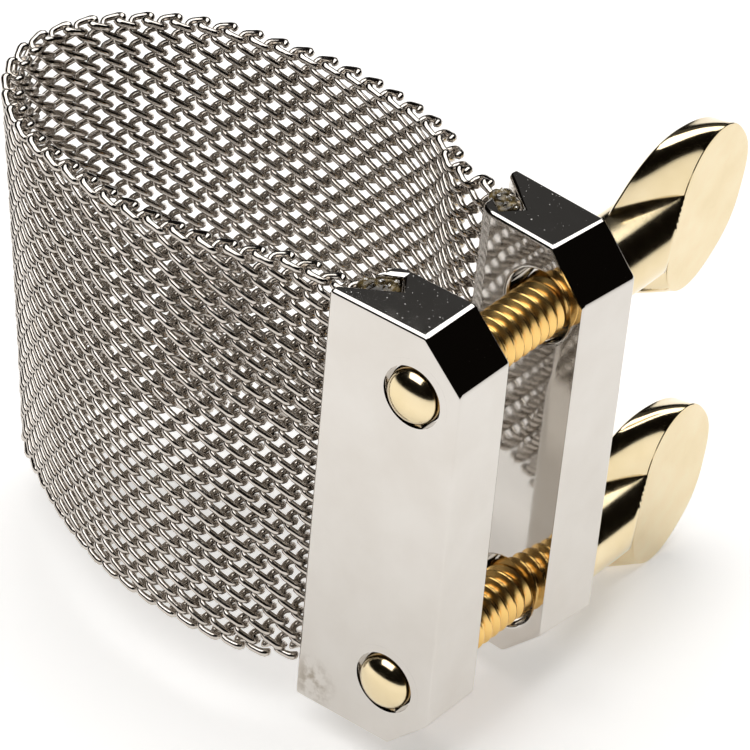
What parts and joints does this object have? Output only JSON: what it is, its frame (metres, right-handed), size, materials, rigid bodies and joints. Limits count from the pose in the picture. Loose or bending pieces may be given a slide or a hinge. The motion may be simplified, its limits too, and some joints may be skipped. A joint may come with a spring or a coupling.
{
  "type": "saxophone ligature",
  "caption": "Woven-wire band that wraps a saxophone mouthpiece, its ends held in slotted metal bars that thumbscrews draw together to clamp the reed.",
  "frame": {"origin": "on the mouthpiece's axis, level with the lower ends of the bars", "axes": "+Z along the mouthpiece and the bars, +X from the loop towards the bars, +Y along the screws from the near bar to the far bar"},
  "size_m": [0.0388, 0.0327, 0.033],
  "materials": {
    "nickel": "mirror-polished nickel plate",
    "gold": "polished gold plate",
    "mesh": "bright drawn stainless wire, woven",
    "bond": "clear yellowish flux or adhesive"
  },
  "bodies": {
    "near_frame": {"near_bar": "nickel", "near_bond": "bond", "near_band_end": "mesh"},
    "far_clamp": {"far_bar": "nickel", "far_bond": "bond", "far_band_end": "mesh"},
    "upper_screw": {"upper_thumbscrew": "gold"},
    "lower_screw": {"lower_thumbscrew": "gold"},
    "near_link_1": {"near_band_strip_01": "mesh", "near_band_strip_02": "mesh"},
    "near_link_2": {"near_band_strip_03": "mesh", "near_band_strip_04": "mesh"},
    "near_link_3": {"near_band_strip_05": "mesh", "near_band_strip_06": "mesh"},
    "near_link_4": {"near_band_strip_07": "mesh", "near_band_strip_08": "mesh"},
    "near_link_5": {"near_band_strip_09": "mesh", "near_band_strip_10": "mesh"},
    "near_link_6": {"near_band_strip_11": "mesh", "near_band_strip_12": "mesh"},
    "far_link_1": {"far_band_strip_01": "mesh", "far_band_strip_02": "mesh"},
    "far_link_2": {"far_band_strip_03": "mesh", "far_band_strip_04": "mesh"},
    "far_link_3": {"far_band_strip_05": "mesh", "far_band_strip_06": "mesh"},
    "far_link_4": {"far_band_strip_07": "mesh", "far_band_strip_08": "mesh"},
    "far_link_5": {"far_band_strip_09": "mesh", "far_band_strip_10": "mesh"},
    "far_link_6": {"far_band_strip_11": "mesh", "far_band_strip_12": "mesh"}
  },
  "joints": [
    {"name": "far_bar_slide", "type": "slide", "parent": "near_frame", "child": "far_clamp", "axis": [0, -1, 0], "range_m": [-0.00119, 0.00397]},
    {"name": "upper_screw_turn", "type": "hinge", "parent": "far_clamp", "child": "upper_screw", "pos_m": [0.01925, 0, 0.0247], "axis": [0, -1, 0], "range_deg": [-545, 1805]},
    {"name": "lower_screw_turn", "type": "hinge", "parent": "far_clamp", "child": "lower_screw", "pos_m": [0.01925, 0, 0.0043], "axis": [0, -1, 0], "range_deg": [-545, 1805]},
    {"name": "near_hinge_1", "type": "hinge", "parent": "near_frame", "child": "near_link_1", "pos_m": [0.01254, -0.00767, 0.01545], "axis": [-0.0135, 0.0122, 0.9998], "range_deg": [-1.7, 4.6]},
    {"name": "near_hinge_2", "type": "hinge", "parent": "near_link_1", "child": "near_link_2", "pos_m": [0.0076, -0.00936, 0.01545], "axis": [-0.0429, 0.0577, 0.9974], "range_deg": [-1, 2.1]},
    {"name": "near_hinge_3", "type": "hinge", "parent": "near_link_2", "child": "near_link_3", "pos_m": [0.0023, -0.01, 0.01545], "axis": [-0.0492, 0.0095, 0.9987], "range_deg": [-0.9, 0.6]},
    {"name": "near_hinge_4", "type": "hinge", "parent": "near_link_3", "child": "near_link_4", "pos_m": [-0.00302, -0.00935, 0.01545], "axis": [-0.0652, -0.0194, 0.9977], "range_deg": [-1.7, 0.9]},
    {"name": "near_hinge_5", "type": "hinge", "parent": "near_link_4", "child": "near_link_5", "pos_m": [-0.00808, -0.0076, 0.01545], "axis": [-0.09, -0.0541, 0.9945], "range_deg": [-1.7, 0.9]},
    {"name": "near_hinge_6", "type": "hinge", "parent": "near_link_5", "child": "near_link_6", "pos_m": [-0.01252, -0.0046, 0.01545], "axis": [-0.0898, -0.0348, 0.9953], "range_deg": [-2.5, 1.1]},
    {"name": "far_hinge_1", "type": "hinge", "parent": "far_clamp", "child": "far_link_1", "pos_m": [0.01257, 0.00641, 0.01545], "axis": [-0.0114, -0.0047, 0.9999], "range_deg": [-4, 1.6]},
    {"name": "far_hinge_2", "type": "hinge", "parent": "far_link_1", "child": "far_link_2", "pos_m": [0.00803, 0.00909, 0.01545], "axis": [-0.0408, -0.0367, 0.9985], "range_deg": [-2.1, 1]},
    {"name": "far_hinge_3", "type": "hinge", "parent": "far_link_2", "child": "far_link_3", "pos_m": [0.00266, 0.01, 0.01545], "axis": [-0.0493, -0.0132, 0.9987], "range_deg": [-0.9, 0.6]},
    {"name": "far_hinge_4", "type": "hinge", "parent": "far_link_3", "child": "far_link_4", "pos_m": [-0.00276, 0.00941, 0.01545], "axis": [-0.0649, 0.0175, 0.9977], "range_deg": [-0.8, 1.5]},
    {"name": "far_hinge_5", "type": "hinge", "parent": "far_link_4", "child": "far_link_5", "pos_m": [-0.00792, 0.00768, 0.01545], "axis": [-0.0897, 0.0532, 0.9945], "range_deg": [-0.9, 1.8]},
    {"name": "far_hinge_6", "type": "hinge", "parent": "far_link_5", "child": "far_link_6", "pos_m": [-0.01246, 0.00466, 0.01545], "axis": [-0.0904, 0.0354, 0.9953], "range_deg": [-1.1, 2.6]}
  ],
  "couplings": [
    {"joint": "upper_screw_turn", "follows": "far_bar_slide", "rad_per_m": 7913.3},
    {"joint": "lower_screw_turn", "follows": "far_bar_slide", "rad_per_m": 7913.3},
    {"joint": "near_hinge_1", "follows": "far_bar_slide", "rad_per_m": 17.846},
    {"joint": "near_hinge_2", "follows": "far_bar_slide", "rad_per_m": 6.959},
    {"joint": "near_hinge_3", "follows": "far_bar_slide", "rad_per_m": -1.718},
    {"joint": "near_hinge_4", "follows": "far_bar_slide", "rad_per_m": -5.297},
    {"joint": "near_hinge_5", "follows": "far_bar_slide", "rad_per_m": -5.43},
    {"joint": "near_hinge_6", "follows": "far_bar_slide", "rad_per_m": -8.62},
    {"joint": "far_hinge_1", "follows": "far_bar_slide", "rad_per_m": -15.52},
    {"joint": "far_hinge_2", "follows": "far_bar_slide", "rad_per_m": -7.073},
    {"joint": "far_hinge_3", "follows": "far_bar_slide", "rad_per_m": -1.899},
    {"joint": "far_hinge_4", "follows": "far_bar_slide", "rad_per_m": 4.449},
    {"joint": "far_hinge_5", "follows": "far_bar_slide", "rad_per_m": 5.745},
    {"joint": "far_hinge_6", "follows": "far_bar_slide", "rad_per_m": 9.269}
  ]
}
